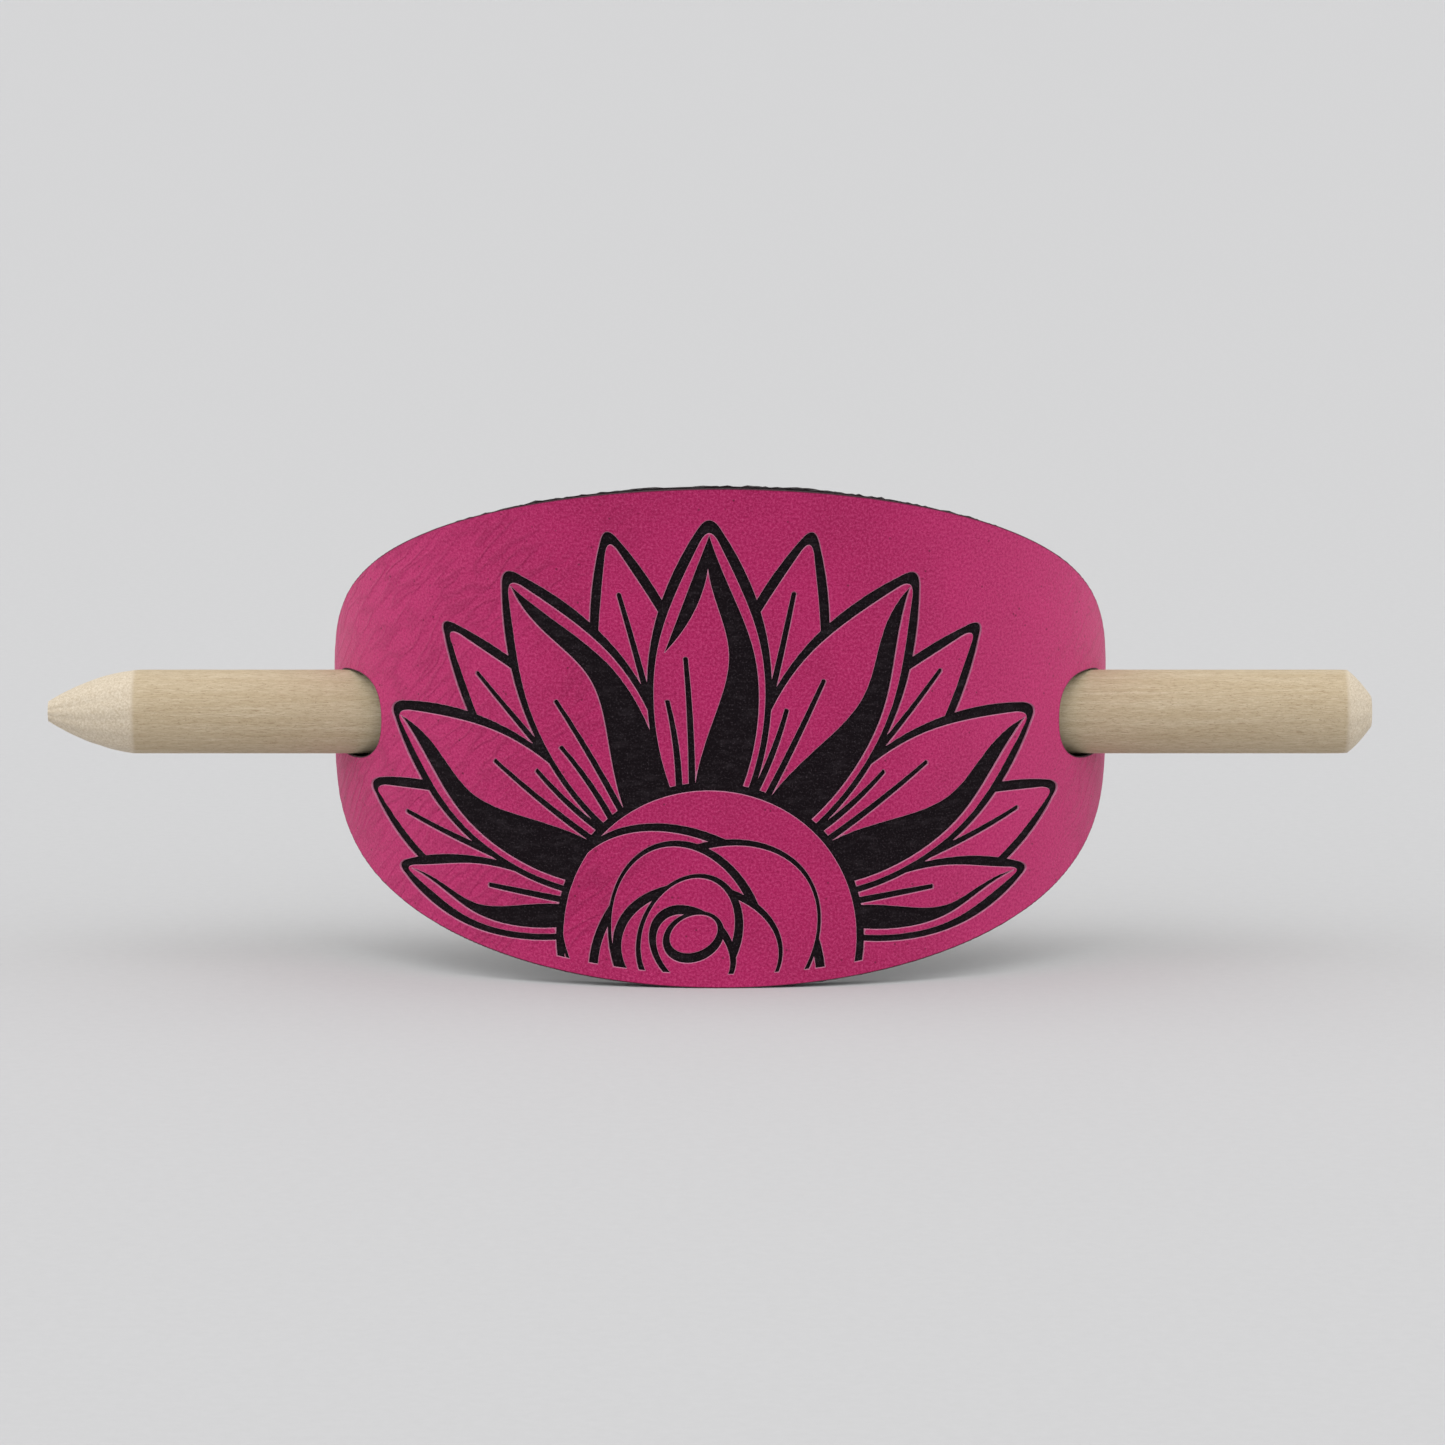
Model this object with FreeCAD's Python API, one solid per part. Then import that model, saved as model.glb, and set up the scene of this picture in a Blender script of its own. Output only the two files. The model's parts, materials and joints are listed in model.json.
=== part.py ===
"""Stick barrette: a bowed oval plate of coated sheet, engraved with a flower, and the wooden stick it is worn with.

Units are millimetres. +X runs along the stick towards its flat end, +Z is up and the plate's face looks along -Y.
The flat sheet is drawn in (s, z): s is the length along the sheet from its middle, z the height above the stick's axis.
"""
import FreeCAD, Part
import math
import os

from FreeCAD import Vector

# ---- plate ----
HALF_LENGTH = 50.8          # half of the flat plate's length along the sheet
HALF_HEIGHT = 23.26         # half of its height
OVAL_PINCH = 0.109          # how far the oval is pulled in from an ellipse towards its ends
BEND = 0.0206               # bending of the sheet at its middle, radians per mm
BEND_GAIN = 3.65e-6         # how the bending grows towards the ends, radians per mm cubed
BOW_DEPTH = 19.9            # the face stands this far in front of the stick's axis at the middle
EDGE_FLARE = 0.7            # bending one way makes the long edges flare forward by this much
FILM = 0.2                  # pink face film
CORE = 1.4                  # black core
BACKING = 0.7               # fabric on the back
OUTLINE_POINTS = 40
PROFILE_STEP = 2.0          # spacing of the points the bent sheet's curve goes through
PROFILE_REACH = 52.0        # it runs a little past the plate's ends
SUMMING_STEPS = 8           # short straight steps added up between two of those points

# ---- holes for the stick, measured on the flat sheet ----
HOLE_S = 41.9
HOLE_LENGTH = 11.2
HOLE_HEIGHT = 8.2
HOLE_SQUARENESS = 2.6       # the stick stretches the holes: 2 is an ellipse, more is squarer
HOLE_POINTS = 24

# ---- stick ----
STICK_RADIUS = 4.0
STICK_LEFT = -64.0          # tapered end
STICK_RIGHT = 62.0          # flat end
TAPER_LENGTH = 8.1
TAPER_BULGE = 0.35          # the tapered end is this much fuller than a cone
TIP_RADIUS = 1.0
CHAMFER_LENGTH = 2.3
CHAMFER_BULGE = 0.15
FLAT_RADIUS = 1.5

# ---- engraved flower ----
FLOWER_S = -1.0             # centre of the half flower
FLOWER_Z = -18.7
DOME_RADIUS = 14.6          # the rose in the middle of it
DOME_LINE = 0.75
ROOT = DOME_RADIUS - 1.2    # petals start hidden behind the rose
PETAL_STEP = 28.5           # degrees from one front petal to the next
REACH = 40.0                # from the flower's centre to where a petal's sides would meet
HALF_WIDTH = 5.7
BACK_HALF_WIDTH = 4.6
LEAN = 1.3                  # the side petals' tips lean outwards by this much
LOW_ANGLE = 8.5             # the lowest pair of petals, in degrees above the horizontal
LOW_REACH = 33.6
LOW_HALF_WIDTH = 3.4
LOW_LEAN = 0.4              # their tips lean upwards by this much
LINE = 0.62                 # width of an engraved line
MARGIN = 0.6                # pink strip between a petal's line and its shaded band
TIP_START = 0.93            # a petal's tip is rounded off between these shares of its length
TIP_END = 0.962
TIP_GAIN = 2.0              # at a petal's tip an inset outline draws back this many times as far as at its sides
EDGE_MARGIN = 1.3           # nothing is engraved nearer to the plate's edge than this
MIN_ISLAND = 0.3            # loose flakes of film with less area than this come off, mm2
CUT_START = -30.0           # the engraving is cut straight back from this y
CUT_LENGTH = 40.0
# shapes as (share of the petal's length, share of its half-width)
PETAL_FORM = [(0.0, 0.70), (0.28, 1.0), (0.55, 0.94), (0.8, 0.54), (1.0, 0.0)]
BAND_FORM = [(0.0, -0.25), (0.28, 0.05), (0.55, 0.32), (0.8, 0.04), (1.0, 0.0)]
WEDGE_BEND = (0.86, 0.03)   # where the edge of a shaded tip turns towards the petal's outline
VEIN_LINE = 0.62            # width of a vein at its root
VEIN_THINNING = 0.3         # it is thinner by this share at its outer end
VEIN_POINTS = 4
# veins as (start, end) in shares of the petal's length and (start, end) distance across it
BACK_VEIN = (0.25, 0.74, 0.0, 0.3)
LOW_VEIN = (0.0, 0.42, -1.2, -1.0)
LONG_VEIN = (0.0, 0.48, -1.6, -2.2)
SHORT_VEIN = (0.0, 0.33, -2.8, -3.9)
# petals as (place in the row, in steps from the upright one, and the hand its shaded band is on)
BACK_PLACES = [-2.5, 2.5, -1.5, 1.5, -0.5, 0.5]
FRONT_PLACES = [(-2, -1), (2, 1), (-1, -1), (1, -1), (0, -1)]
# the rose is made of oval petals, each leaning against the inside of the one around it
ROSE_RADII = [11.9, 10.3, 8.4, 7.0, 5.4, 4.0, 2.6]
ROSE_START = 205.0          # direction in which the first one leans, degrees
ROSE_TURN = 160.0           # from there to the next one's direction
ROSE_TILT = -35.0           # tilt of the first one
ROSE_TILT_STEP = 70.0
ROSE_STRETCH = 1.14         # how much longer they are than a circle
ROSE_LINE = 0.62
ROSE_THINNING = 0.28        # their lines are thinner by this much where they touch
ROSE_POINTS = 24


def slope(s):
    """Angle of the bent sheet away from the X axis, in radians, at length s from its middle."""
    return BEND * s + BEND_GAIN * s ** 3


def sheet_profile():
    """Points of the bent face seen from above, as (s, x, y), found by adding up short steps from the middle."""
    side = [(0.0, 0.0, -BOW_DEPTH)]
    step = PROFILE_STEP / SUMMING_STEPS
    s, x, y = side[0]
    for number in range(1, int(PROFILE_REACH / step) + 1):
        angle = slope(s + step / 2)
        s = number * step
        x += step * math.cos(angle)
        y += step * math.sin(angle)
        if number % SUMMING_STEPS == 0:
            side.append((s, x, y))
    mirrored = [(-s, -x, y) for s, x, y in reversed(side[1:])]
    return mirrored + side


PROFILE = sheet_profile()


def lengthwise_curve(points):
    """Spline through one point for each point of the profile, so that its parameter is s."""
    curve = Part.BSplineCurve()
    curve.interpolate(Points=points, Parameters=[s for s, x, y in PROFILE])
    return curve


FACE_CURVE = lengthwise_curve([Vector(x, y, 0) for s, x, y in PROFILE])


def bent_surface(depth):
    """The sheet's surface at a depth below its face, with (s, z) as its parameters."""
    base = []
    flare = []
    for s, x, y in PROFILE:
        inward = Vector(-math.sin(slope(s)), math.cos(slope(s)), 0)
        base.append(Vector(x, y, 0) + inward * depth)
        flare.append(inward * (-EDGE_FLARE * (1 - (s / HALF_LENGTH) ** 2)))
    base_curve = lengthwise_curve(base)
    flare_curve = lengthwise_curve(flare)
    poles = []
    for pole, lift in zip(base_curve.getPoles(), flare_curve.getPoles()):
        # five poles along z make a straight line plus a flare that grows with the fourth power of z
        row = [pole + Vector(0, 0, HALF_HEIGHT * (j / 2 - 1)) + lift * (-1) ** j for j in range(5)]
        poles.append(row)
    surface = Part.BSplineSurface()
    surface.buildFromPolesMultsKnots(
        poles, base_curve.getMultiplicities(), [5, 5],
        base_curve.getKnots(), [-HALF_HEIGHT, HALF_HEIGHT], False, False, 3, 4)
    return surface


def oval(inset):
    """Points of the plate's outline drawn in by inset, counter-clockwise."""
    points = []
    for number in range(OUTLINE_POINTS):
        turn = 2 * math.pi * (number + 0.5) / OUTLINE_POINTS
        s = (HALF_LENGTH - inset) * math.cos(turn)
        z = (HALF_HEIGHT - inset) * math.sin(turn) * (1 - OVAL_PINCH * math.cos(turn) ** 2)
        points.append((s, z))
    return points


def hole_rim(s):
    """Points of a hole's rim around s, counter-clockwise: an oval with its four sides flattened."""
    points = []
    for number in range(HOLE_POINTS):
        turn = 2 * math.pi * (number + 0.5) / HOLE_POINTS
        along = math.copysign(abs(math.cos(turn)) ** (2 / HOLE_SQUARENESS), math.cos(turn))
        across = math.copysign(abs(math.sin(turn)) ** (2 / HOLE_SQUARENESS), math.sin(turn))
        points.append((s + along * HOLE_LENGTH / 2, across * HOLE_HEIGHT / 2))
    return points


def round_points(s, z, half_s, half_z, count, tilt=0.0):
    """Points of an ellipse on the flat sheet, counter-clockwise, tilted by an angle in radians."""
    points = []
    for number in range(count):
        turn = 2 * math.pi * number / count
        along = half_s * math.cos(turn)
        across = half_z * math.sin(turn)
        points.append((s + along * math.cos(tilt) - across * math.sin(tilt),
                       z + along * math.sin(tilt) + across * math.cos(tilt)))
    return points


def closed_curve(points):
    """Smooth closed curve on the flat sheet."""
    curve = Part.Geom2d.BSplineCurve2d()
    curve.interpolate(Points=[FreeCAD.Base.Vector2d(s, z) for s, z in points], PeriodicFlag=True)
    return curve


def sheet_layer(top, thickness):
    """One layer of the bent sheet, from depth top to top + thickness, with square-cut edges."""
    outline = closed_curve(oval(0.0))
    holes = []
    for side in (-1, 1):
        holes.append(closed_curve(hole_rim(side * HOLE_S)[::-1]))
    faces = []
    rims = []
    for depth in (top, top + thickness):
        surface = bent_surface(depth)
        edges = [curve.toShape(surface) for curve in [outline] + holes]
        face = Part.Face(surface, Part.Wire(edges[0]))
        face.cutHoles([Part.Wire(edge) for edge in edges[1:]])
        faces.append(face)
        rims.append(edges)
    for upper, lower in zip(*rims):
        faces.append(Part.makeRuledSurface(upper, lower))
    shell = Part.makeCompound(faces)
    shell.sewShape()
    return Part.makeSolid(shell)


def front_spot(point):
    """Where a point of the flat sheet is seen from straight in front, on the plane y = 0."""
    s, z = point
    return Vector(FACE_CURVE.value(s).x, 0, z)


def drawn(*runs):
    """Flat area bounded by runs of points: a straight line for two points, a smooth curve for more."""
    edges = []
    for run in runs:
        spots = [front_spot(point) for point in run]
        if len(spots) == 2:
            edges.append(Part.makeLine(*spots))
        else:
            curve = Part.BSplineCurve()
            curve.interpolate(Points=spots)
            edges.append(curve.toShape())
    return Part.Face(Part.Wire(edges))


def drawn_round(points):
    """Flat area inside one smooth closed curve."""
    curve = Part.BSplineCurve()
    curve.interpolate(Points=[front_spot(point) for point in points], PeriodicFlag=True)
    return Part.Face(Part.Wire(curve.toShape()))


class Petal:
    """A pointed petal of the flower: where it points, how far it reaches and how wide it is."""

    def __init__(self, angle, reach, half_width, lean):
        self.angle = math.radians(angle)
        self.reach = reach
        self.half_width = half_width
        self.lean = lean

    def spot(self, share, across, shorter=0.0):
        """Point of the flat sheet at a share of the petal's length and a distance across it."""
        out = ROOT + share * (self.reach - ROOT - shorter)
        across += self.lean * share ** 3
        s = FLOWER_S + out * math.cos(self.angle) - across * math.sin(self.angle)
        z = FLOWER_Z + out * math.sin(self.angle) + across * math.cos(self.angle)
        return (s, z)

    def side(self, hand, inset):
        """The petal's outline on one hand, from root to tip, drawn in by inset."""
        points = []
        for share, width in PETAL_FORM:
            across = max(self.half_width * width - inset, 0.0)
            points.append(self.spot(share, hand * across, TIP_GAIN * inset))
        return points

    def area(self, inset):
        """The whole petal drawn in by inset, with its tip rounded."""
        shorter = TIP_GAIN * inset
        last_share, last_width = PETAL_FORM[-2]
        across = (self.half_width * last_width - inset) * (1 - TIP_START) / (1 - last_share)
        left = self.side(1, inset)[:-1] + [self.spot(TIP_START, across, shorter)]
        right = self.side(-1, inset)[:-1] + [self.spot(TIP_START, -across, shorter)]
        tip = self.spot(TIP_END, 0.0, shorter)
        return drawn(left, [left[-1], tip, right[-1]], right[::-1], [right[0], left[0]])

    def outline(self):
        """The petal's engraved outline."""
        return self.area(0.0).cut(self.area(LINE))

    def band(self, hand):
        """Shaded band along one hand of the petal, from root to tip."""
        inset = LINE + MARGIN
        edge = self.side(hand, inset)
        middle = []
        for share, width in BAND_FORM:
            middle.append(self.spot(share, hand * width * self.half_width, TIP_GAIN * inset))
        return drawn(edge, middle[::-1], [middle[0], edge[0]])

    def wedge(self, hand):
        """Shading of the petal's tip on one hand, thinning to nothing half way down."""
        inset = LINE + MARGIN
        edge = self.side(hand, inset)[2:]
        share, width = WEDGE_BEND
        middle = self.spot(share, hand * width * self.half_width, TIP_GAIN * inset)
        return drawn(edge, [edge[-1], middle, edge[0]])

    def vein(self, ends, hand):
        """Line along one hand of the petal that grows thinner towards its rounded outer end."""
        start, end, across_start, across_end = ends
        left = []
        right = []
        for number in range(VEIN_POINTS):
            share = number / (VEIN_POINTS - 1)
            along = start + (end - start) * share
            across = hand * (across_start + (across_end - across_start) * share ** 2)
            half_line = VEIN_LINE / 2 * (1 - VEIN_THINNING * share ** 2)
            left.append(self.spot(along, across + half_line))
            right.append(self.spot(along, across - half_line))
        tip = self.spot(end, across, -half_line)
        return drawn(left, [left[-1], tip, right[-1]], right[::-1], [right[0], left[0]])


def back_petals():
    """Petals that show between the front ones: an outline and one vein each."""
    petals = []
    for place in BACK_PLACES:
        petal = Petal(90 + place * PETAL_STEP, REACH, BACK_HALF_WIDTH, 0.0)
        petals.append((petal, [petal.outline(), petal.vein(BACK_VEIN, 1)]))
    return petals


def front_petals():
    """The lowest pair, two pairs above them and the upright petal, each with its shaded band."""
    petals = []
    for hand in (-1, 1):
        low = Petal(90 + hand * (90 - LOW_ANGLE), LOW_REACH, LOW_HALF_WIDTH, -hand * LOW_LEAN)
        petals.append((low, [low.outline(), low.band(hand), low.vein(LOW_VEIN, hand)]))
    for place, hand in FRONT_PLACES:
        lean = LEAN * (place > 0) - LEAN * (place < 0)
        petal = Petal(90 + place * PETAL_STEP, REACH, HALF_WIDTH, lean)
        marks = [petal.outline(), petal.band(hand), petal.vein(LONG_VEIN, hand), petal.vein(SHORT_VEIN, hand)]
        if place == 0:
            marks.append(petal.wedge(-hand))
        petals.append((petal, marks))
    return petals


def rose_area(s, z, half_long, half_short, tilt):
    """Area of one oval petal of the rose."""
    return drawn_round(round_points(s, z, half_long, half_short, ROSE_POINTS, math.radians(tilt)))


def rose():
    """The round edge of the rose and its folded petals, each as (whole area, engraved line)."""
    s = FLOWER_S
    z = FLOWER_Z
    dome = rose_area(s, z, DOME_RADIUS, DOME_RADIUS, 0)
    radius = DOME_RADIUS - DOME_LINE
    inside = rose_area(s, z, radius, radius, 0)
    rings = [(dome, dome.cut(inside))]
    direction = ROSE_START
    tilt = ROSE_TILT
    for smaller in ROSE_RADII:
        lean_s = math.cos(math.radians(direction))
        lean_z = math.sin(math.radians(direction))
        s += (radius - smaller) * lean_s
        z += (radius - smaller) * lean_z
        half_long = smaller * ROSE_STRETCH
        half_short = smaller / ROSE_STRETCH
        whole = rose_area(s, z, half_long, half_short, tilt)
        hollow = rose_area(s + ROSE_THINNING * lean_s, z + ROSE_THINNING * lean_z,
                           half_long - ROSE_LINE, half_short - ROSE_LINE, tilt)
        rings.append((whole.common(inside), whole.cut(hollow).common(inside)))
        radius = smaller - ROSE_LINE / 2
        direction += ROSE_TURN
        tilt += ROSE_TILT_STEP
    return rings


def engraving():
    """Everything engraved, as a flat area seen from straight in front; nearer shapes hide those behind them."""
    ink = None
    for petal, marks in back_petals() + front_petals():
        if ink:
            ink = ink.cut(petal.area(0.0)).fuse(marks)
        else:
            ink = marks[0].fuse(marks[1:])
    for whole, line in rose():
        ink = ink.cut(whole).fuse(line)
    return ink.common(drawn_round(oval(EDGE_MARGIN)))


def face_film():
    """Pink film with the flower engraved right through it."""
    film = sheet_layer(0.0, FILM)
    burned = engraving()
    burned.translate(Vector(0, CUT_START, 0))
    film = film.cut(burned.extrude(Vector(0, CUT_LENGTH, 0)))
    return Part.makeCompound([piece for piece in film.Solids if piece.Volume > MIN_ISLAND * FILM])


def stick_profile():
    """Outline of half the stick in the XZ plane, from its tapered end to its flat end."""
    tip = Vector(STICK_LEFT, 0, TIP_RADIUS)
    shoulder = Vector(STICK_LEFT + TAPER_LENGTH, 0, STICK_RADIUS)
    full = (tip + shoulder) / 2 + Vector(-TAPER_BULGE, 0, TAPER_BULGE)
    chamfer = Vector(STICK_RIGHT - CHAMFER_LENGTH, 0, STICK_RADIUS)
    flat = Vector(STICK_RIGHT, 0, FLAT_RADIUS)
    rounded = (chamfer + flat) / 2 + Vector(CHAMFER_BULGE, 0, CHAMFER_BULGE)
    left = Vector(STICK_LEFT, 0, 0)
    right = Vector(STICK_RIGHT, 0, 0)
    edges = [
        Part.makeLine(left, tip),
        Part.Arc(tip, full, shoulder).toShape(),
        Part.makeLine(shoulder, chamfer),
        Part.Arc(chamfer, rounded, flat).toShape(),
        Part.makeLine(flat, right),
        Part.makeLine(right, left),
    ]
    return Part.Face(Part.Wire(edges))


def wooden_stick():
    """Round wooden stick, sanded to a blunt taper at one end and chamfered at the other."""
    return stick_profile().revolve(Vector(0, 0, 0), Vector(1, 0, 0), 360)


def main():
    shapes = {
        "face_film": face_film(),
        "core_sheet": sheet_layer(FILM, CORE),
        "backing_fabric": sheet_layer(FILM + CORE, BACKING),
        "wooden_stick": wooden_stick(),
    }
    bounds = Part.makeCompound(list(shapes.values())).optimalBoundingBox()
    # the origin is the middle of the underside of everything together
    to_origin = Vector(-bounds.Center.x, -bounds.Center.y, -bounds.ZMin)
    os.makedirs("parts", exist_ok=True)
    for name, shape in shapes.items():
        shape.translate(to_origin)
        shape.exportStep("parts/" + name + ".step")
        print(name, shape.isValid(), len(shape.Solids), "solids", round(shape.Volume, 1), "mm3")
    print("stick axis at y, z:", round(to_origin.y, 3), round(to_origin.z, 3), "shift x", round(to_origin.x, 3))


main()
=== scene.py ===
"""Stick barrette for Blender: the bowed plate with its engraved film, black core and cloth back, and its stick.

Shapes are worked out in millimetres and turned into metres when a mesh is made.
The flat sheet is drawn in (s, z): s is the length along the sheet from its middle, z the height above the stick's
axis. Depth is measured from the plate's face towards its back.
"""

import json
import math

import bmesh
import bpy
import numpy as np
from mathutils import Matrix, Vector, kdtree, noise
from mathutils.geometry import delaunay_2d_cdt

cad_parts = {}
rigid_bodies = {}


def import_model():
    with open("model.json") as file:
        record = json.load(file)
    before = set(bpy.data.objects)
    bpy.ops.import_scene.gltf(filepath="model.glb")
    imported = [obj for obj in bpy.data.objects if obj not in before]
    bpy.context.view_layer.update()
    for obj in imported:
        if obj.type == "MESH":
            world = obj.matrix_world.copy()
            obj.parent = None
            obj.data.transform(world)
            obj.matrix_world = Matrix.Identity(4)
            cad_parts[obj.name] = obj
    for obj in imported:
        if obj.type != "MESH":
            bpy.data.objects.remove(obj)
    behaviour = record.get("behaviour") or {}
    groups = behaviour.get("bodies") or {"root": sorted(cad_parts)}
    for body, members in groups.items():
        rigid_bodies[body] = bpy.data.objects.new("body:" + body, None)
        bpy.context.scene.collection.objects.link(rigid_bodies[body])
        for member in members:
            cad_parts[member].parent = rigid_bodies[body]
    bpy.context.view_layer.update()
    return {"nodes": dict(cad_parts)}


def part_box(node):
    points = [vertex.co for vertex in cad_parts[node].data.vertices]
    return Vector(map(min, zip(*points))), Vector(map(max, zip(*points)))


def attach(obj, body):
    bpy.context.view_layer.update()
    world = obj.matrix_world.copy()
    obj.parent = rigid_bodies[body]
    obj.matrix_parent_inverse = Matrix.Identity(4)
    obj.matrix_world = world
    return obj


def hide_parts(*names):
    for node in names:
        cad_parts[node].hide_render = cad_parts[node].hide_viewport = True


for leftover in list(bpy.data.objects):
    bpy.data.objects.remove(leftover, do_unlink=True)
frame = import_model()

MM = 0.001

# ---- the bent sheet ----
HALF_LENGTH = 50.8
HALF_HEIGHT = 23.26
BEND = 0.0206               # bending at the middle, radians per mm
BEND_GAIN = 3.65e-6
BOW_DEPTH = 19.9            # how far the face stands in front of the stick's axis
EDGE_FLARE = 0.7
FILM = 0.2
CORE = 1.4
BACKING = 0.7
PLATE_X = sum(corner.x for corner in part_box("core_sheet")) / 2 / MM
STICK_Y = sum(corner.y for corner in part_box("wooden_stick")) / 2 / MM
STICK_Z = sum(corner.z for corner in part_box("wooden_stick")) / 2 / MM

# ---- fine shape ----
FILM_SPACING = 0.32         # distance between the points of the film's surface
CORE_SPACING = 0.9
CLOTH_SPACING = 0.8
LIP_RINGS = (0.07, 0.16)    # extra rings of points beside an engraved edge
WRINKLE_SLANT = math.radians(40)
WRINKLE_DEPTH = 0.03
ROUGH_EDGE = 0.16           # how ragged the laser-cut edges are
ROUGHNESS = [(4.0, 5.0), (9.0, 13.0)]   # coarse and fine: how fast it changes with depth and along the sheet
SHORTEST_SIDE = 0.04        # shorter sides are left out, as a share of the spacing
SHAKE = 0.15                # how far the surface's points are shaken, as a share of the spacing
ROW_STEP = 0.866            # rows of evenly spaced points lie this share of the spacing apart
TREE_SPACING = 0.08         # spacing of the points along edges that distances are measured to
ON_LAYER = 0.04             # a CAD point this near a layer's face lies on it
UNBENDING_ROUNDS = 30
RING_SHARE = 0.9            # a ring point is left out where an edge is nearer than this share of its distance
FIELD_GAP = 0.45            # surface points stay this share of the spacing clear of the rings
WELD = 1e-5                 # flat points nearer than this become one
SHARP_ANGLE = math.radians(50)

S_GRID = np.linspace(-54.0, 54.0, 1081)
SLOPE_GRID = BEND * S_GRID + BEND_GAIN * S_GRID ** 3


def running_sum(values):
    """Integral of values over the grid, zero at the sheet's middle."""
    total = np.concatenate([[0.0], np.cumsum((values[1:] + values[:-1]) / 2 * np.diff(S_GRID))])
    return total - np.interp(0.0, S_GRID, total)


X_GRID = running_sum(np.cos(SLOPE_GRID))
Y_GRID = running_sum(np.sin(SLOPE_GRID)) - BOW_DEPTH


def slope(s):
    """Angle of the bent sheet away from the X axis, in radians, at length s from its middle."""
    return BEND * s + BEND_GAIN * s ** 3


def flare(s, z):
    """How far the long edges stand forward of a plain bend."""
    return EDGE_FLARE * (1 - (s / HALF_LENGTH) ** 2) * (z / HALF_HEIGHT) ** 4


def bent(s, z, depth):
    """Places of points of the flat sheet once it is bent, in the object's frame."""
    inward = depth - flare(s, z)
    x = np.interp(s, S_GRID, X_GRID) - np.sin(slope(s)) * inward
    y = np.interp(s, S_GRID, Y_GRID) + np.cos(slope(s)) * inward
    return np.stack([PLATE_X + x, STICK_Y + y, STICK_Z + z], axis=1)


def flattened(places):
    """(s, z, depth) of points in the object's frame: bent() backwards."""
    x = places[:, 0] - PLATE_X
    y = places[:, 1] - STICK_Y
    z = places[:, 2] - STICK_Z
    s = np.interp(x, X_GRID, S_GRID)
    for _ in range(UNBENDING_ROUNDS):
        along_x = x - np.interp(s, S_GRID, X_GRID)
        along_y = y - np.interp(s, S_GRID, Y_GRID)
        s = s + along_x * np.cos(slope(s)) + along_y * np.sin(slope(s))
    depth = -along_x * np.sin(slope(s)) + along_y * np.cos(slope(s)) + flare(s, z)
    return s, z, depth


def cad_loops(node, top):
    """Edges of a layer's outer face on the flat sheet, as closed loops of (s, z) points."""
    shape = bmesh.new()
    shape.from_mesh(frame["nodes"][node].data)
    bmesh.ops.remove_doubles(shape, verts=shape.verts, dist=1e-7)
    shape.verts.ensure_lookup_table()
    s, z, depth = flattened(np.array([vert.co for vert in shape.verts]) / MM)
    on_top = np.abs(depth - top) < ON_LAYER
    after = {}
    for face in shape.faces:
        if not all(on_top[vert.index] for vert in face.verts):
            continue
        for loop in face.loops:
            others = [near for near in loop.edge.link_faces if near is not face]
            if all(on_top[vert.index] for near in others for vert in near.verts):
                continue
            after.setdefault(loop.vert.index, []).append(loop.link_loop_next.vert.index)
    shape.free()
    loops = []
    while after:
        start = next(iter(after))
        path = [start]
        here = start
        while True:
            follow = after[here].pop()
            if not after[here]:
                del after[here]
            if follow == start:
                break
            path.append(follow)
            here = follow
        loops.append([(s[i], z[i]) for i in path])
    return loops


def divided(loop, spacing):
    """The loop with no side longer than spacing, and its very short sides left out."""
    points = []
    for (s0, z0), (s1, z1) in zip(loop, loop[1:] + loop[:1]):
        length = math.hypot(s1 - s0, z1 - z0)
        if length < spacing * SHORTEST_SIDE:
            continue
        count = max(1, math.ceil(length / spacing))
        for step in range(count):
            points.append((s0 + (s1 - s0) * step / count, z0 + (z1 - z0) * step / count))
    return points


def ring_points(points, distance):
    """Points beside a loop at a distance on its inner hand; inner is to the left along the loop."""
    beside = []
    count = len(points)
    for number in range(count):
        s0, z0 = points[number - 1]
        s1, z1 = points[(number + 1) % count]
        length = math.hypot(s1 - s0, z1 - z0)
        if length > 0:
            s, z = points[number]
            beside.append((s - (z1 - z0) / length * distance, z + (s1 - s0) / length * distance))
    return beside


def field_points(spacing, seed):
    """Points all over the flat sheet in slightly shaken rows."""
    rng = np.random.default_rng(seed)
    rows = []
    for row, z in enumerate(np.arange(-HALF_HEIGHT, HALF_HEIGHT, spacing * ROW_STEP)):
        s = np.arange(-HALF_LENGTH, HALF_LENGTH, spacing) + (row % 2) * spacing / 2
        rows.append(np.stack([s, np.full_like(s, z)], axis=1))
    field = np.concatenate(rows)
    return field + rng.uniform(-SHAKE, SHAKE, field.shape) * spacing


def nearest_edge(loops):
    """Search tree of points along loops, to find how far a point is from an edge."""
    finely = [point for loop in loops for point in divided(loop, TREE_SPACING)]
    tree = kdtree.KDTree(len(finely))
    for number, (s, z) in enumerate(finely):
        tree.insert((s, z, 0.0), number)
    tree.balance()
    return tree


def is_inside(point, loops):
    """Whether a point of the flat sheet has an odd number of loops around it."""
    crossings = 0
    for loop in loops:
        a = np.array(loop)
        b = np.roll(a, -1, axis=0)
        spans = (a[:, 1] > point[1]) != (b[:, 1] > point[1])
        a, b = a[spans], b[spans]
        at = a[:, 0] + (point[1] - a[:, 1]) / (b[:, 1] - a[:, 1]) * (b[:, 0] - a[:, 0])
        crossings += int(np.count_nonzero(at > point[0]))
    return crossings % 2 == 1


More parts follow.
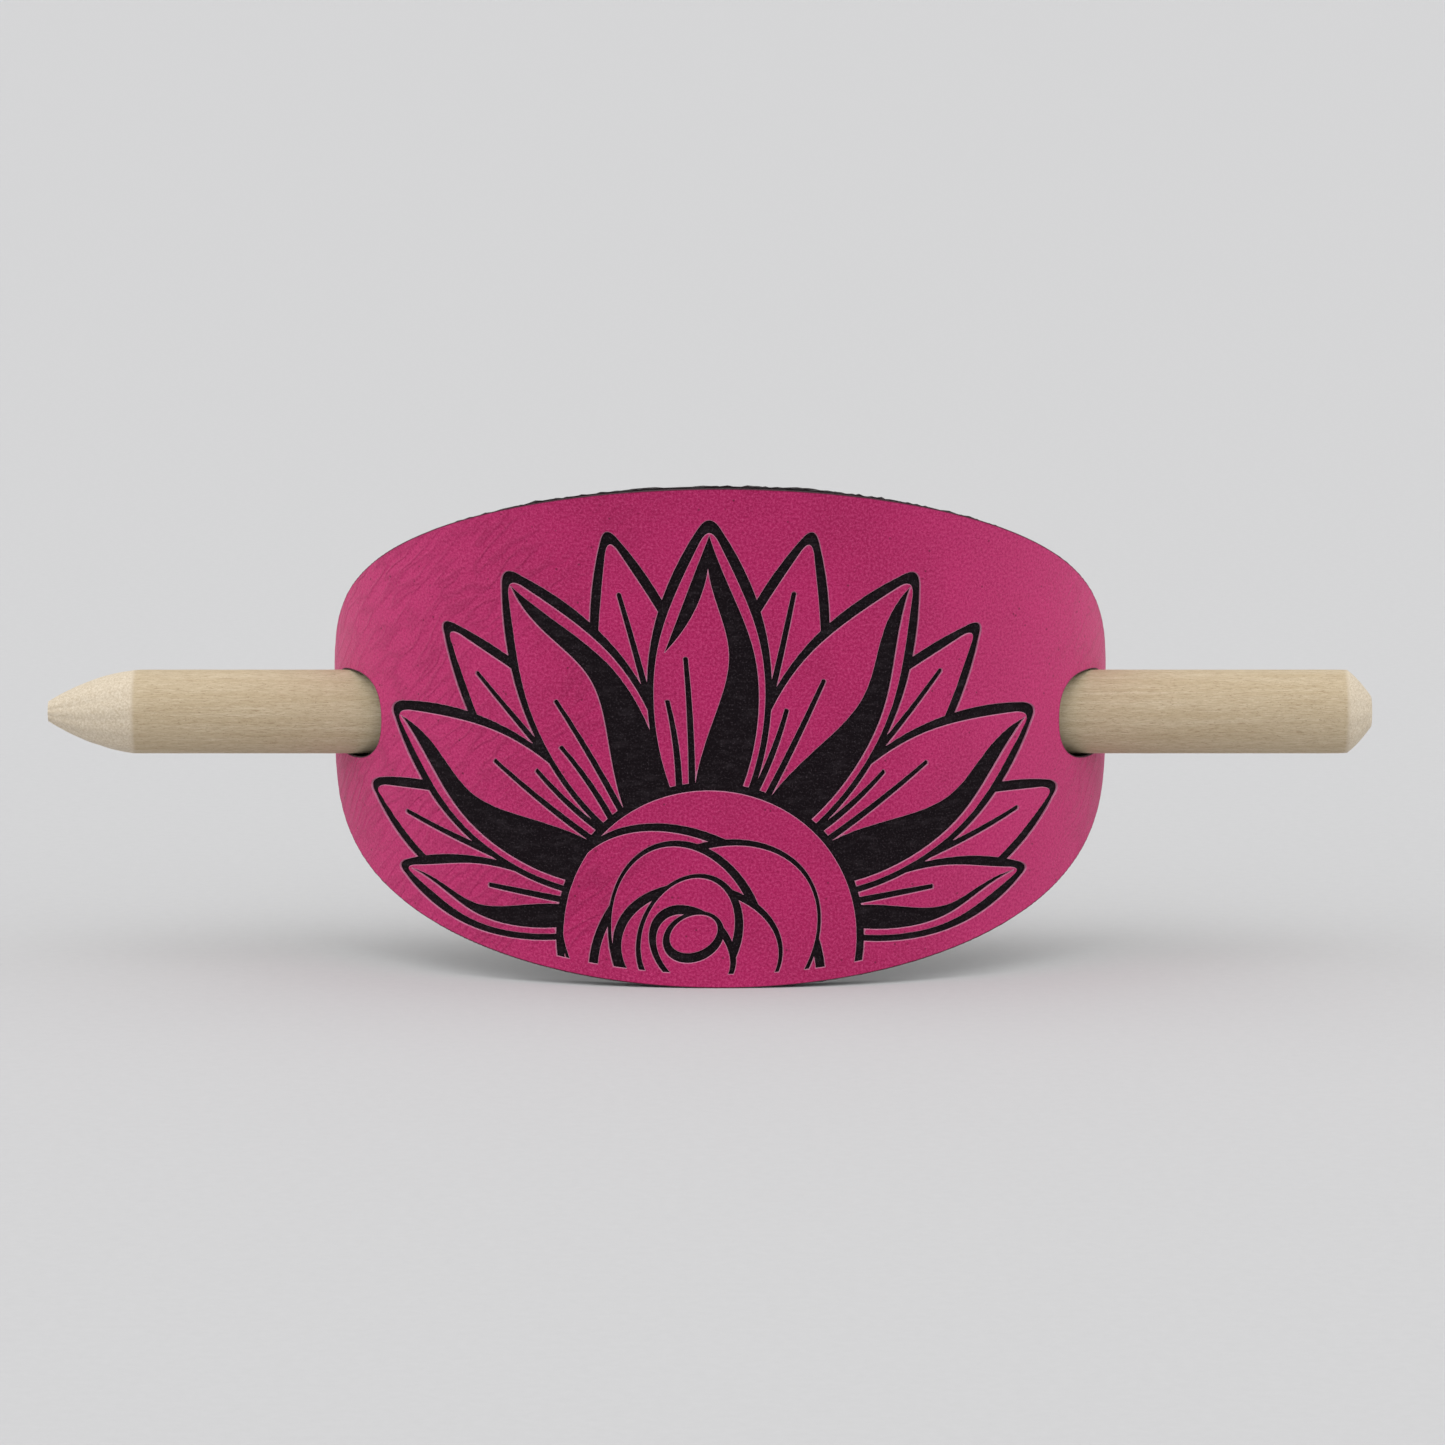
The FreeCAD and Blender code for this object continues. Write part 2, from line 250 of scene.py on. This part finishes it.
def only_inside(flat, triangles, walls, loops):
    """The triangles that lie inside the loops. walls are the edges that no patch of triangles crosses."""
    by_edge = {}
    for number, (a, b, c) in enumerate(triangles):
        for edge in ((a, b), (b, c), (c, a)):
            by_edge.setdefault(tuple(sorted(edge)), []).append(number)
    patch = [None] * len(triangles)
    kept = []
    for start in range(len(triangles)):
        if patch[start] is not None:
            continue
        members = [start]
        patch[start] = start
        for number in members:
            a, b, c = triangles[number]
            for edge in ((a, b), (b, c), (c, a)):
                edge = tuple(sorted(edge))
                if edge in walls:
                    continue
                for other in by_edge[edge]:
                    if patch[other] is None:
                        patch[other] = start
                        members.append(other)
        corners = flat[np.array([triangles[number] for number in members])]
        first, second = corners[:, 1] - corners[:, 0], corners[:, 2] - corners[:, 0]
        size = np.abs(first[:, 0] * second[:, 1] - first[:, 1] * second[:, 0])
        if is_inside(corners[size.argmax()].mean(axis=0), loops):
            kept.extend(triangles[number] for number in members)
    return kept


def filled(loops, spacing, rings, seed):
    """Triangles that fill loops: points (s, z), triangles, and each point's distance to the nearest edge."""
    tree = nearest_edge(loops)
    points = []
    sides = []
    paths = [divided(loop, spacing) for loop in loops]
    for path in paths:
        first = len(points)
        points.extend(path)
        sides.extend((first + i, first + (i + 1) % len(path)) for i in range(len(path)))
    for ring in rings:
        for path in paths:
            for s, z in ring_points(path, ring):
                if tree.find((s, z, 0.0))[2] > ring * RING_SHARE:
                    points.append((s, z))
    keep_away = max(rings, default=0.0) + spacing * FIELD_GAP
    for s, z in field_points(spacing, seed):
        if tree.find((s, z, 0.0))[2] > keep_away:
            points.append((s, z))
    places = [Vector(point) for point in points]
    flat, edges, triangles, _, sources, _ = delaunay_2d_cdt(places, sides, [], 2, WELD)
    flat = np.array([(point.x, point.y) for point in flat])
    walls = {tuple(sorted(edge)) for edge, source in zip(edges, sources) if source}
    triangles = only_inside(flat, [tuple(triangle) for triangle in triangles], walls, loops)
    used = sorted({corner for triangle in triangles for corner in triangle})
    place = {old: new for new, old in enumerate(used)}
    flat = flat[used]
    triangles = [tuple(place[corner] for corner in triangle) for triangle in triangles]
    gap = np.array([tree.find((s, z, 0.0))[2] for s, z in flat])
    return flat, triangles, gap


def rim_of(triangles):
    """Edges that only one triangle has, in the direction that triangle runs along them."""
    seen = {}
    for a, b, c in triangles:
        for edge in ((a, b), (b, c), (c, a)):
            seen[edge] = True
    return [edge for edge in seen if (edge[1], edge[0]) not in seen]


def outward_of(flat, rim):
    """Direction away from the sheet at each rim point, on the flat sheet."""
    outward = {}
    for a, b in rim:
        along = flat[b] - flat[a]
        away = np.array([along[1], -along[0]]) / max(np.hypot(*along), 1e-9)
        for point in (a, b):
            outward[point] = outward.get(point, np.zeros(2)) + away
    return {point: away / max(np.hypot(*away), 1e-9) for point, away in outward.items()}


def solid_piece(name, vertices, faces, attributes):
    """Mesh object from millimetre vertices, with smooth faces and one value of each attribute per vertex."""
    mesh = bpy.data.meshes.new(name)
    mesh.from_pydata([tuple(vertex) for vertex in np.asarray(vertices) * MM], [], faces)
    for label, values in attributes.items():
        kind = "FLOAT_VECTOR" if np.ndim(values) == 2 else "FLOAT"
        field = "vector" if np.ndim(values) == 2 else "value"
        layer = mesh.attributes.new(label, kind, "POINT")
        layer.data.foreach_set(field, np.asarray(values, dtype=np.float32).ravel())
    mesh.shade_smooth()
    mesh.set_sharp_from_angle(angle=SHARP_ANGLE)
    piece = bpy.data.objects.new(name, mesh)
    bpy.context.scene.collection.objects.link(piece)
    return piece


def noise_at(s, z, w, scale_s, scale_z):
    """Smooth noise from about -1 to 1 on the flat sheet; each w gives another pattern."""
    return noise.noise(Vector((s * scale_s, z * scale_z, w)))


def layer_piece(name, node, top, thickness, spacing, rings, relief, rows, ragged):
    """One layer of the sheet with a fine surface: relief(s, z, gap) raises it, ragged roughens its cut edges."""
    flat, triangles, gap = filled(cad_loops(node, top), spacing, rings, seed=len(name))
    s, z = flat[:, 0], flat[:, 1]
    outline = nearest_edge(cad_loops("core_sheet", FILM))
    border = [outline.find((*point, 0.0))[2] for point in flat]
    count = len(flat)
    height = np.array([relief(*values) for values in zip(s, z, gap)])
    vertices = [bent(s, z, top - height), bent(s, z, np.full(count, top + thickness))]
    flat_places = [np.stack([s, z, np.full(count, depth)], axis=1) for depth in (top, top + thickness)]
    edge = [gap, gap]
    faces = list(triangles)
    faces += [tuple(count + corner for corner in triangle[::-1]) for triangle in triangles]
    rim = rim_of(triangles)
    outward = outward_of(flat, rim)
    order = {point: number for number, point in enumerate(outward)}
    rows_at = [dict(zip(order, order))]
    for row in range(1, rows):
        depth = top + thickness * row / rows
        moved = []
        for point, away in outward.items():
            push = ragged * sum(noise_at(*flat[point], depth * change, scale, scale) for change, scale in ROUGHNESS)
            moved.append(flat[point] + away * push)
        moved = np.array(moved)
        first = sum(len(part) for part in vertices)
        vertices.append(bent(moved[:, 0], moved[:, 1], np.full(len(moved), depth)))
        flat_places.append(np.column_stack([moved, np.full(len(moved), depth)]))
        edge.append(np.zeros(len(moved)))
        rows_at.append({point: first + order[point] for point in order})
    rows_at.append({point: count + point for point in order})
    for upper, lower in zip(rows_at, rows_at[1:]):
        faces += [(upper[b], upper[a], lower[a], lower[b]) for a, b in rim]
    below = np.zeros(sum(len(part) for part in vertices) - count)
    folds = np.array([fold_place(*point) for point in flat])
    attributes = {
        "flat": np.concatenate(flat_places),
        "edge": np.concatenate(edge),
        "border": np.concatenate([border, border, below[count:]]),
        "folds": np.concatenate([folds, folds, np.zeros((len(below) - count, 3))]),
    }
    piece = solid_piece(name, np.concatenate(vertices), faces, attributes)
    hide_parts(node)
    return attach(piece, "plate")


# ---------------------------------------------------------------- materials

def linear(*rgb):
    """Linear colour from sRGB values of 0 to 255."""
    return tuple(((c / 255 + 0.055) / 1.055) ** 2.4 if c > 10 else c / 255 / 12.92 for c in rgb) + (1.0,)


class Shader:
    """A material's node tree, built node by node."""

    def __init__(self, name):
        self.material = bpy.data.materials.new(name)
        self.material.use_nodes = True
        self.tree = self.material.node_tree
        self.surface = self.tree.nodes["Principled BSDF"]

    def put(self, socket, value):
        if isinstance(value, bpy.types.NodeSocket):
            self.tree.links.new(value, socket)
        else:
            socket.default_value = value

    def node(self, kind, settings=None, **inputs):
        made = self.tree.nodes.new("ShaderNode" + kind)
        for key, value in (settings or {}).items():
            setattr(made, key, value)
        for key, value in inputs.items():
            self.put(made.inputs[key.replace("_", " ")], value)
        return made

    def attribute(self, name, output="Vector"):
        return self.node("Attribute", {"attribute_name": name}).outputs[output]

    def stretched(self, vector, x, y, z, turn=0.0):
        made = self.node("Mapping", Vector=vector, Scale=(x, y, z), Rotation=(0.0, 0.0, turn))
        return made.outputs["Vector"]

    def noise(self, vector, scale, detail=2.0, roughness=0.5, distortion=0.0):
        made = self.node("TexNoise", Vector=vector, Scale=scale, Detail=detail, Roughness=roughness,
                         Distortion=distortion)
        return made.outputs["Fac"]

    def cells(self, vector, scale, feature="F1"):
        made = self.node("TexVoronoi", {"feature": feature}, Vector=vector, Scale=scale)
        return made.outputs["Distance"]

    def spread(self, value, low, high, to_low=0.0, to_high=1.0):
        """The value's range low to high stretched to another range, and kept within it."""
        made = self.node("MapRange", Value=value, From_Min=low, From_Max=high, To_Min=to_low, To_Max=to_high)
        return made.outputs["Result"]

    def math(self, operation, a, b=0.0):
        made = self.node("Math", {"operation": operation})
        self.put(made.inputs[0], a)
        self.put(made.inputs[1], b)
        return made.outputs[0]

    def mix(self, factor, a, b, blend="MIX"):
        made = self.node("Mix", {"data_type": "RGBA", "blend_type": blend})
        self.put(made.inputs[0], factor)
        self.put(made.inputs[6], a)
        self.put(made.inputs[7], b)
        return made.outputs[2]

    def bump(self, height, distance, strength=1.0, normal=None):
        made = self.node("Bump", Height=height, Distance=distance, Strength=strength)
        if normal:
            self.put(made.inputs["Normal"], normal)
        return made.outputs["Normal"]

    def finish(self, color, roughness, normal=None, specular=0.5):
        self.put(self.surface.inputs["Base Color"], color)
        self.put(self.surface.inputs["Roughness"], roughness)
        self.put(self.surface.inputs["Specular IOR Level"], specular)
        if normal:
            self.put(self.surface.inputs["Normal"], normal)
        return self.material


def pink_film_material():
    """Grained pink coating with slanting creases.

    It is painted paler towards its bent ends, a painted highlight for the side light and sheen there,
    and its creases are painted darker as painted shade. It is paler along burned edges, and singed at the plate's
    rim.
    """
    shader = Shader("pink_film")
    flat = shader.attribute("flat")
    folds = shader.attribute("folds")
    edge = shader.attribute("edge", "Fac")
    border = shader.attribute("border", "Fac")
    strength = shader.node("SeparateXYZ", Vector=folds).outputs["Z"]
    wave = shader.noise(shader.stretched(folds, 0.8, 0.17, 0.0), 1.0, 1.5, 0.4)
    crease = shader.spread(shader.math("ABSOLUTE", shader.math("SUBTRACT", wave, 0.5)), 0.0, 0.095, 1.0, 0.0)
    crease = shader.math("MULTIPLY", crease, strength)
    mottle = shader.noise(flat, 0.12, 3.0)
    grain = shader.noise(flat, 4.2, 3.0, 0.8)
    color = shader.mix(shader.spread(mottle, 0.35, 0.65), linear(173, 20, 90), linear(163, 16, 83))
    # painted highlight: the film is painted paler towards its bent ends, standing in for side light and sheen there
    along = shader.math("ABSOLUTE", shader.node("SeparateXYZ", Vector=flat).outputs["X"])
    color = shader.mix(shader.spread(along, 14.0, 46.0, 0.0, 0.6), color, linear(212, 62, 126))
    color = shader.mix(shader.spread(grain, 0.45, 0.75, 0.0, 0.7), color, linear(212, 82, 136))
    color = shader.mix(shader.spread(grain, 0.25, 0.48, 0.6, 0.0), color, linear(116, 8, 54))
    specks = shader.spread(shader.cells(flat, 0.7), 0.05, 0.09, 0.7, 0.0)
    color = shader.mix(specks, color, linear(90, 14, 44))
    # painted shade: the film is painted darker inside the creases, where shade falls
    color = shader.mix(shader.math("MULTIPLY", crease, 0.2), color, linear(104, 8, 50))
    color = shader.mix(shader.spread(edge, 0.03, 0.08, 0.7, 0.0), color, linear(196, 140, 165))
    color = shader.mix(shader.spread(border, 0.06, 0.15, 0.95, 0.0), color, linear(48, 22, 30))
    skin = shader.cells(flat, 2.2, "SMOOTH_F1")
    normal = shader.bump(crease, 0.00006, 1.0)
    normal = shader.bump(skin, 0.00006, 0.5, normal)
    normal = shader.bump(grain, 0.00008, 0.9, normal)
    shader.put(shader.surface.inputs["Sheen Weight"], 0.12)
    shader.put(shader.surface.inputs["Sheen Roughness"], 0.4)
    return shader.finish(color, shader.spread(grain, 0.3, 0.7, 0.5, 0.62), normal, 0.2)


def black_core_material():
    """Burned black core with faint scan lines, ash and dust, and plain black at its cut edges."""
    shader = Shader("black_core")
    flat = shader.attribute("flat")
    border = shader.attribute("border", "Fac")
    ash = shader.noise(shader.stretched(flat, 1.0, 3.0, 1.0), 0.5, 5.0, 0.75)
    dust = shader.noise(flat, 5.0, 2.0, 0.8)
    color = shader.mix(shader.spread(ash, 0.5, 0.8), linear(20, 14, 18), linear(46, 40, 44))
    color = shader.mix(shader.spread(dust, 0.55, 0.75, 0.0, 0.55), color, linear(84, 76, 81))
    color = shader.mix(shader.spread(border, 0.0, 0.1, 0.9, 0.0), color, linear(24, 17, 19))
    lines = shader.noise(shader.stretched(flat, 0.3, 7.0, 1.0), 1.0, 3.0)
    normal = shader.bump(lines, 0.00006, 0.5)
    normal = shader.bump(dust, 0.00005, 0.6, normal)
    return shader.finish(color, 0.8, normal, 0.06)


def dark_backing_material():
    """Brushed dark cloth: mottled, with short fibres that mostly lie along the sheet."""
    shader = Shader("dark_backing")
    flat = shader.attribute("flat")
    mottle = shader.noise(flat, 0.35, 4.0, 0.65)
    fuzz = shader.noise(flat, 2.2, 5.0, 0.8, 0.4)
    nap = shader.noise(shader.stretched(flat, 0.9, 4.5, 2.0, 0.2), 1.0, 4.0, 0.75, 0.8)
    color = shader.mix(shader.spread(mottle, 0.3, 0.7), linear(38, 31, 34), linear(54, 46, 48))
    color = shader.mix(shader.spread(nap, 0.45, 0.75, 0.0, 0.7), color, linear(98, 88, 88))
    color = shader.mix(shader.spread(fuzz, 0.3, 0.5, 0.6, 0.0), color, linear(18, 14, 16))
    normal = shader.bump(fuzz, 0.0004, 1.0)
    normal = shader.bump(nap, 0.0003, 1.0, normal)
    shader.put(shader.surface.inputs["Sheen Weight"], 0.15)
    shader.put(shader.surface.inputs["Sheen Roughness"], 0.5)
    return shader.finish(color, 0.95, normal, 0.1)


def pale_wood_material():
    """Bare pale wood with lengthwise grain, fine flecks and pores, paler where it was sanded across the grain."""
    shader = Shader("pale_wood")
    along = shader.attribute("along")
    sanded = shader.attribute("sanded", "Fac")
    grain = shader.noise(shader.stretched(along, 0.05, 1.6, 1.6), 1.0, 5.0, 0.6, 0.3)
    fine = shader.noise(shader.stretched(along, 0.9, 11.0, 11.0), 1.0, 4.0, 0.8)
    flecks = shader.noise(shader.stretched(along, 1.3, 9.0, 9.0), 1.0, 1.0)
    pores = shader.noise(shader.stretched(along, 4.0, 14.0, 14.0), 1.0, 2.0, 0.7)
    color = shader.mix(shader.spread(grain, 0.35, 0.65), linear(204, 188, 160), linear(192, 174, 143))
    color = shader.mix(shader.spread(fine, 0.42, 0.7, 0.0, 0.75), color, linear(166, 145, 114))
    color = shader.mix(shader.spread(fine, 0.28, 0.45, 0.4, 0.0), color, linear(220, 206, 182))
    color = shader.mix(shader.spread(flecks, 0.6, 0.72, 0.0, 0.45), color, linear(150, 126, 94))
    color = shader.mix(shader.spread(pores, 0.6, 0.72, 0.0, 0.7), color, linear(130, 106, 77))
    dust = shader.noise(along, 5.0, 4.0, 0.8)
    sanded_color = shader.mix(shader.spread(dust, 0.35, 0.65), linear(224, 212, 193), linear(192, 175, 148))
    worn = shader.math("ADD", sanded, shader.math("MULTIPLY", shader.math("SUBTRACT", dust, 0.5), 1.0))
    color = shader.mix(shader.spread(worn, 0.3, 0.7), color, sanded_color)
    normal = shader.bump(fine, 0.00007, 0.7)
    normal = shader.bump(dust, 0.00006, 0.5, normal)
    return shader.finish(color, 0.65, normal, 0.3)


def paper_material():
    """Pale matte sweep the object stands on."""
    shader = Shader("backdrop_paper")
    place = shader.node("NewGeometry").outputs["Position"]
    fibre = shader.noise(place, 900.0, 3.0, 0.7)
    color = shader.mix(shader.spread(fibre, 0.3, 0.7), linear(191, 191, 192), linear(194, 194, 195))
    return shader.finish(color, 0.9, shader.bump(fibre, 0.00003, 0.3), 0.2)


# ---------------------------------------------------------------- pieces

def fold_place(s, z):
    """Distance across and along the leather's wrinkles, and how strongly it is wrinkled there."""
    wander = 0.9 * noise_at(s, z, 3.0, 0.14, 0.14) + 0.22 * noise_at(s, z, 4.0, 0.6, 0.6)
    across = s * math.sin(WRINKLE_SLANT) - z * math.cos(WRINKLE_SLANT) + wander
    along = s * math.cos(WRINKLE_SLANT) + z * math.sin(WRINKLE_SLANT)
    left = 1 / (1 + math.exp((s + 8 + 14 * noise_at(s, z, 7.0, 0.05, 0.05)) / 3))
    patch = min(max(0.75 + 1.5 * noise_at(s, z, 11.0, 0.1, 0.1), 0.15), 1.0)
    end = min(max((abs(s) - 34) / 10, 0.0), 0.6)
    return across, along, max(left * patch, end, 0.08)


def crease(across, along, w, spacing, length, sharpness):
    """0 between creases and up to 1 in one; they lie spacing apart and run on for about length."""
    return max(1 - abs(noise_at(across, along, w, 1 / spacing, 1 / length)) * sharpness, 0.0)


def film_relief(s, z, gap):
    """Height of the film's surface: leather wrinkles, a pebbled skin and a lip along burned edges."""
    across, along, strength = fold_place(s, z)
    folds = crease(across, along, 1.0, 1.6, 8.0, 3.0)
    pebbles = 0.012 * noise_at(s, z, 6.0, 1.1, 1.1)
    lip = 0.015 * math.exp(-((gap - 0.08) / 0.06) ** 2) - 0.06 * math.exp(-(gap / 0.03) ** 2)
    return pebbles + lip - WRINKLE_DEPTH * strength * folds


def core_relief(s, z, gap):
    """The core lies a little below the film and is slightly uneven."""
    return -0.02 - 0.012 * noise_at(s, z, 2.0, 2.5, 2.5)


def cloth_relief(s, z, gap):
    """The cloth lies flat against the core."""
    return 0.0


# name, node, material, then the rest of what layer_piece takes
LAYERS = [
    ("film", "face_film", "pink_film", 0.0, FILM, FILM_SPACING, LIP_RINGS, film_relief, 1, 0.0),
    ("core", "core_sheet", "black_core", FILM, CORE, CORE_SPACING, (0.2,), core_relief, 7, ROUGH_EDGE),
    ("cloth", "backing_fabric", "dark_backing", FILM + CORE, BACKING, CLOTH_SPACING, (0.2,), cloth_relief, 4,
     ROUGH_EDGE * 1.4),
]


def build_plate(materials):
    """The plate's three layers."""
    for name, node, finish, *shape in LAYERS:
        piece = layer_piece(name, node, *shape)
        piece.data.materials.append(materials[finish])


# ---- stick ----
STICK_RADIUS = 4.0
TAPER_LENGTH = 8.1
TIP_RADIUS = 1.0
TAPER_BOW = 0.5             # how much fuller than a cone the taper is at its middle
CHAMFER_LENGTH = 2.3
CHAMFER_BOW = 0.2
FLAT_RADIUS = 1.5
STICK_SIDES = 96
TAPER_ROWS = 24
BODY_ROW = 0.7              # length of one row of faces between the sanded ends
CHAMFER_ROWS = 8
TAPER_FACETS = 11


def bowed_radius(share, r0, r1, bulge):
    """Radius at a share of the way from r0 to r1 along a line bowed outwards by bulge at its middle."""
    return r0 + (r1 - r0) * share + bulge * 4 * share * (1 - share)


def stick_stations():
    """(distance from the tapered end, radius, how sanded it is) along the stick."""
    low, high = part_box("wooden_stick")
    length = (high.x - low.x) / MM
    stations = []
    for step in range(TAPER_ROWS):
        share = step / TAPER_ROWS
        stations.append((TAPER_LENGTH * share, bowed_radius(share, TIP_RADIUS, STICK_RADIUS, TAPER_BOW), 1.0))
    body = length - TAPER_LENGTH - CHAMFER_LENGTH
    rows = int(body / BODY_ROW)
    for step in range(rows + 1):
        nearest = min(step, rows - step) * BODY_ROW
        stations.append((TAPER_LENGTH + body * step / rows, STICK_RADIUS, max(0.7 - nearest, 0.0)))
    for step in range(1, CHAMFER_ROWS + 1):
        share = step / CHAMFER_ROWS
        radius = bowed_radius(1 - share, FLAT_RADIUS, STICK_RADIUS, CHAMFER_BOW)
        stations.append((length - CHAMFER_LENGTH * (1 - share), radius, 1.0))
    return stations


def build_stick(materials):
    """The stick as rings of points, its sanded ends worn into soft flats."""
    low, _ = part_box("wooden_stick")
    vertices = []
    sanded = []
    stations = stick_stations()
    for x, radius, worn in stations:
        for side in range(STICK_SIDES):
            turn = 2 * math.pi * side / STICK_SIDES
            flats = abs(math.sin(turn * TAPER_FACETS / 2 + x * 0.15))
            uneven = noise.noise(Vector((x * 0.5, math.cos(turn) * 2, math.sin(turn) * 2)))
            here = radius - worn * (0.09 * (1 - flats) + 0.05 * abs(uneven)) - 0.012 * (uneven + 1)
            vertices.append((low.x / MM + x, STICK_Y + here * math.cos(turn), STICK_Z + here * math.sin(turn)))
            sanded.append(worn)
    faces = []
    for ring in range(len(stations) - 1):
        for side in range(STICK_SIDES):
            a = ring * STICK_SIDES + side
            b = ring * STICK_SIDES + (side + 1) % STICK_SIDES
            faces.append((a, b, b + STICK_SIDES, a + STICK_SIDES))
    last = (len(stations) - 1) * STICK_SIDES
    faces.append(tuple(range(STICK_SIDES))[::-1])
    faces.append(tuple(last + side for side in range(STICK_SIDES)))
    piece = solid_piece("stick", vertices, faces, {"along": np.array(vertices), "sanded": np.array(sanded)})
    piece.data.materials.append(materials["pale_wood"])
    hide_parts("wooden_stick")
    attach(piece, "stick")


# ---------------------------------------------------------------- stage

CAMERA_DISTANCE = 650.0
CAMERA_PITCH = math.radians(7.36)
CAMERA_LENS = 169.9
SENSOR = 36.0
FLOOR_REACH = 9000.0        # the floor's half-width
LAMP_SOFTNESS = math.radians(95)


def build_floor(materials):
    """Wide paper floor that runs back out of sight."""
    corners = [(-FLOOR_REACH, -FLOOR_REACH), (FLOOR_REACH, -FLOOR_REACH), (FLOOR_REACH, FLOOR_REACH),
               (-FLOOR_REACH, FLOOR_REACH)]
    floor = solid_piece("paper_floor", [(x, y, 0.0) for x, y in corners], [(0, 1, 2, 3)], {})
    floor.data.materials.append(materials["paper"])


def soft_lamp(name, azimuth, elevation, strength):
    """Very broad even light from one direction; azimuth is counted from +X towards -Y."""
    data = bpy.data.lights.new(name, "SUN")
    data.angle = LAMP_SOFTNESS
    data.energy = strength
    lamp = bpy.data.objects.new(name, data)
    across = math.cos(math.radians(elevation))
    towards = Vector((across * math.cos(math.radians(azimuth)), -across * math.sin(math.radians(azimuth)),
                      math.sin(math.radians(elevation))))
    lamp.rotation_euler = towards.to_track_quat("Z", "Y").to_euler()
    bpy.context.scene.collection.objects.link(lamp)


def build_lights():
    """A light tent: broad light from both sides and from above the camera, and even light from everywhere."""
    soft_lamp("left", 165.0, 40.0, 1.5)
    soft_lamp("right", 15.0, 40.0, 1.4)
    soft_lamp("front", 90.0, 55.0, 0.45)
    world = bpy.data.worlds.new("tent")
    world.use_nodes = True
    world.node_tree.nodes["Background"].inputs["Color"].default_value = (1.0, 1.0, 1.0, 1.0)
    world.node_tree.nodes["Background"].inputs["Strength"].default_value = 0.54
    bpy.context.scene.world = world
    bpy.context.scene.view_settings.view_transform = "Standard"


def build_camera():
    """Camera in front of the plate and a little above it."""
    data = bpy.data.cameras.new("camera")
    data.sensor_width = SENSOR
    data.lens = CAMERA_LENS
    data.clip_start, data.clip_end = 0.01, 10.0
    camera = bpy.data.objects.new("camera", data)
    target = Vector((PLATE_X + 0.22, STICK_Y, STICK_Z - 1.06))
    back = Vector((0.0, -math.cos(CAMERA_PITCH), math.sin(CAMERA_PITCH)))
    camera.location = (target + back * CAMERA_DISTANCE) * MM
    camera.rotation_euler = (math.pi / 2 - CAMERA_PITCH, 0.0, 0.0)
    bpy.context.scene.collection.objects.link(camera)
    bpy.context.scene.camera = camera


def main():
    materials = {
        "pink_film": pink_film_material(),
        "black_core": black_core_material(),
        "dark_backing": dark_backing_material(),
        "pale_wood": pale_wood_material(),
        "paper": paper_material(),
    }
    build_plate(materials)
    build_stick(materials)
    build_floor(materials)
    build_lights()
    build_camera()


main()
